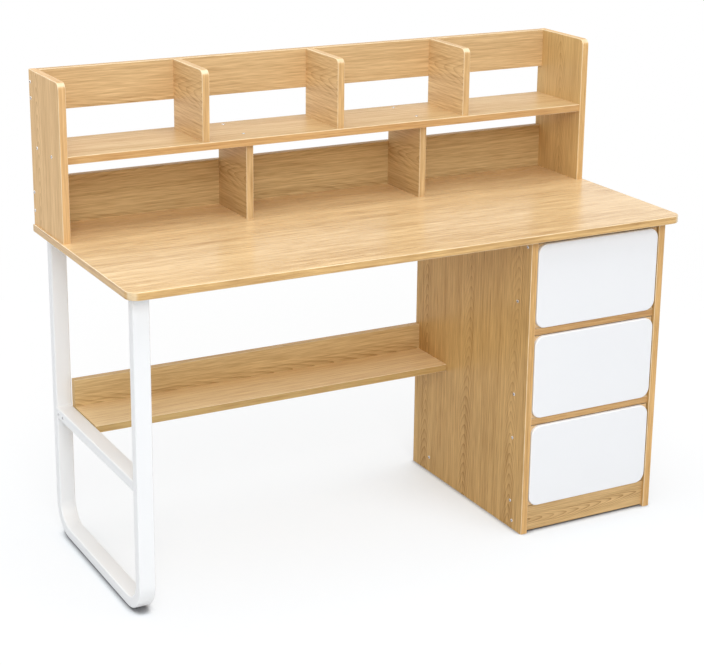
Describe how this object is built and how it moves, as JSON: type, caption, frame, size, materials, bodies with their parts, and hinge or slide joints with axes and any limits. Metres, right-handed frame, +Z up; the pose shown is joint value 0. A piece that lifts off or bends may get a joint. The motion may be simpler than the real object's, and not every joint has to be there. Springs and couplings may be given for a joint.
{
  "type": "student desk with hutch",
  "caption": "Writing desk with a bent-tube sled leg, a drawer pedestal on telescopic slides, a low shelf and an open hutch with dividers.",
  "frame": {"origin": "on the floor under the middle of the desk's bounding box", "axes": "+X to the desk's right, +Y to its back, +Z up; the drawers open towards -Y"},
  "size_m": [1.4, 0.6, 1.11],
  "materials": {
    "oak_board": "natural oak grain on board, satin",
    "white_front": "white satin lacquer on fibreboard",
    "white_steel": "white powder coat on steel tube",
    "screw_steel": "zinc plated",
    "slide_steel": "zinc plated, rolled",
    "thin_panel": "thin board with oak print, satin",
    "glide_felt": "light grey plastic"
  },
  "bodies": {
    "desk": {"tabletop": "oak_board", "hutch_side_left": "oak_board", "hutch_side_right": "oak_board", "hutch_shelf": "oak_board", "hutch_top_rail": "oak_board", "hutch_back_board": "oak_board", "upper_divider_left": "oak_board", "upper_divider_middle": "oak_board", "upper_divider_right": "oak_board", "lower_divider_left": "oak_board", "lower_divider_right": "oak_board", "pedestal_side_left": "oak_board", "pedestal_side_right": "oak_board", "pedestal_back": "thin_panel", "pedestal_bottom": "oak_board", "pedestal_plinth": "oak_board", "pedestal_rear_foot": "oak_board", "drawer_rail_lower": "oak_board", "drawer_rail_upper": "oak_board", "pedestal_stretcher_front": "oak_board", "pedestal_stretcher_rear": "oak_board", "leg_sled": "white_steel", "leg_crossbar": "white_steel", "leg_mounting_plates": "white_steel", "leg_glides": "glide_felt", "lower_shelf": "oak_board", "lower_back_board": "oak_board", "hutch_screws": "screw_steel", "divider_screws": "screw_steel", "pedestal_screws": "screw_steel", "leg_screws": "screw_steel", "under_top_screws": "screw_steel", "top_slide_outer": "slide_steel", "middle_slide_outer": "slide_steel", "bottom_slide_outer": "slide_steel"},
    "drawer_top": {"drawer_top_front": "white_front", "drawer_top_box_front": "oak_board", "drawer_top_side_left": "oak_board", "drawer_top_side_right": "oak_board", "drawer_top_back": "oak_board", "drawer_top_bottom": "thin_panel", "top_slide_inner": "slide_steel"},
    "slide_top": {"top_slide_middle": "slide_steel"},
    "drawer_middle": {"drawer_middle_front": "white_front", "drawer_middle_box_front": "oak_board", "drawer_middle_side_left": "oak_board", "drawer_middle_side_right": "oak_board", "drawer_middle_back": "oak_board", "drawer_middle_bottom": "thin_panel", "middle_slide_inner": "slide_steel"},
    "slide_middle": {"middle_slide_middle": "slide_steel"},
    "drawer_bottom": {"drawer_bottom_front": "white_front", "drawer_bottom_box_front": "oak_board", "drawer_bottom_side_left": "oak_board", "drawer_bottom_side_right": "oak_board", "drawer_bottom_back": "oak_board", "drawer_bottom_bottom": "thin_panel", "bottom_slide_inner": "slide_steel"},
    "slide_bottom": {"bottom_slide_middle": "slide_steel"}
  },
  "joints": [
    {"name": "drawer_top_slide", "type": "slide", "parent": "desk", "child": "drawer_top", "axis": [0, -1, 0], "range_m": [0, 0.4]},
    {"name": "slide_top_slide", "type": "slide", "parent": "desk", "child": "slide_top", "axis": [0, -1, 0], "range_m": [0, 0.2]},
    {"name": "drawer_middle_slide", "type": "slide", "parent": "desk", "child": "drawer_middle", "axis": [0, -1, 0], "range_m": [0, 0.4]},
    {"name": "slide_middle_slide", "type": "slide", "parent": "desk", "child": "slide_middle", "axis": [0, -1, 0], "range_m": [0, 0.2]},
    {"name": "drawer_bottom_slide", "type": "slide", "parent": "desk", "child": "drawer_bottom", "axis": [0, -1, 0], "range_m": [0, 0.4]},
    {"name": "slide_bottom_slide", "type": "slide", "parent": "desk", "child": "slide_bottom", "axis": [0, -1, 0], "range_m": [0, 0.2]}
  ],
  "couplings": [
    {"joint": "slide_top_slide", "follows": "drawer_top_slide", "ratio": 0.5},
    {"joint": "slide_middle_slide", "follows": "drawer_middle_slide", "ratio": 0.5},
    {"joint": "slide_bottom_slide", "follows": "drawer_bottom_slide", "ratio": 0.5}
  ]
}
